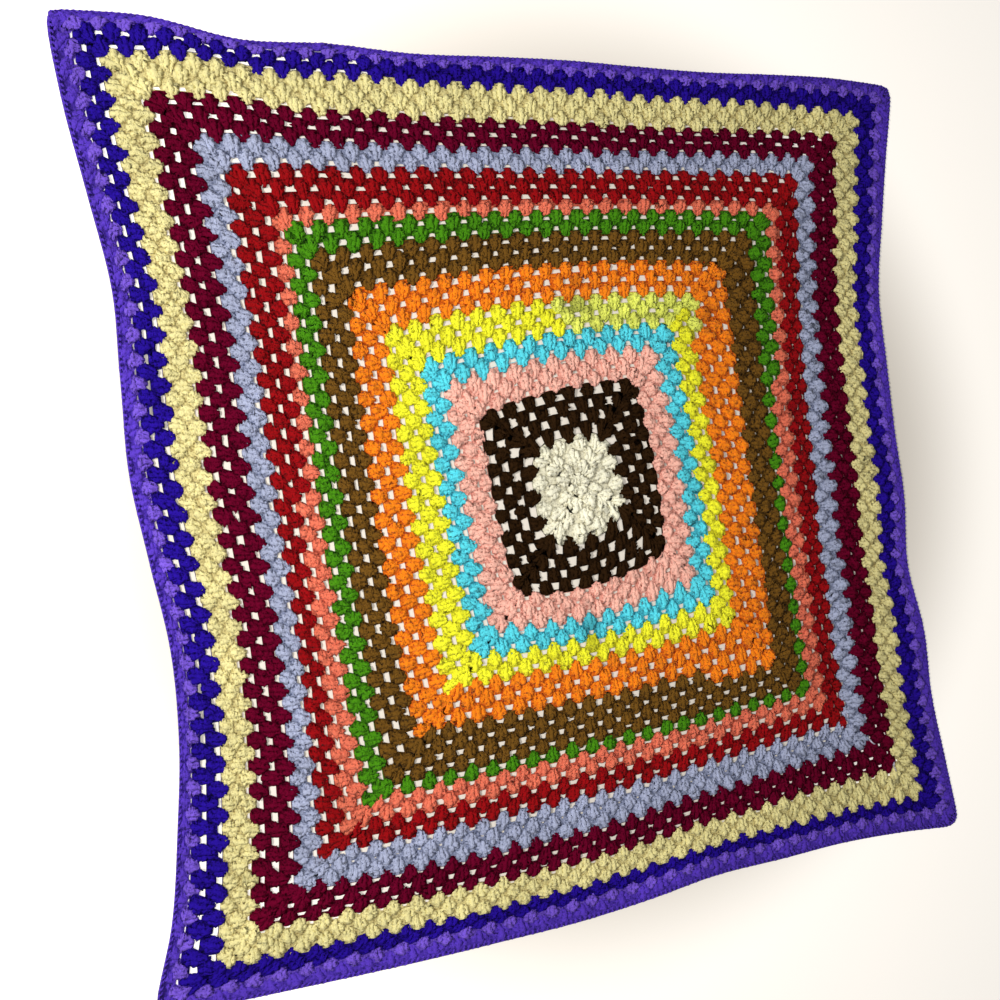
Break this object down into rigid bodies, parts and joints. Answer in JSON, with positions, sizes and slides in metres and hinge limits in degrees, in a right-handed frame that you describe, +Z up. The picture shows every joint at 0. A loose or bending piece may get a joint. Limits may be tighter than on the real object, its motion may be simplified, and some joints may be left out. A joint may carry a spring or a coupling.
{
  "type": "crochet afghan",
  "caption": "Square crochet blanket worked from the centre outwards in concentric bands of fan stitches, laid out flat, with gaps through the dark and brown rounds.",
  "frame": {"origin": "middle of the bounding box in plan, on the underside that lies on the surface", "axes": "+Z up out of the laid cloth, +Y towards the edge that is uppermost in the picture, +X towards the right-hand edge"},
  "size_m": [1.13, 1.128, 0.0076],
  "materials": {
    "yarn": "matte"
  },
  "bodies": {
    "root": {"afghan": "yarn"}
  },
  "joints": []
}
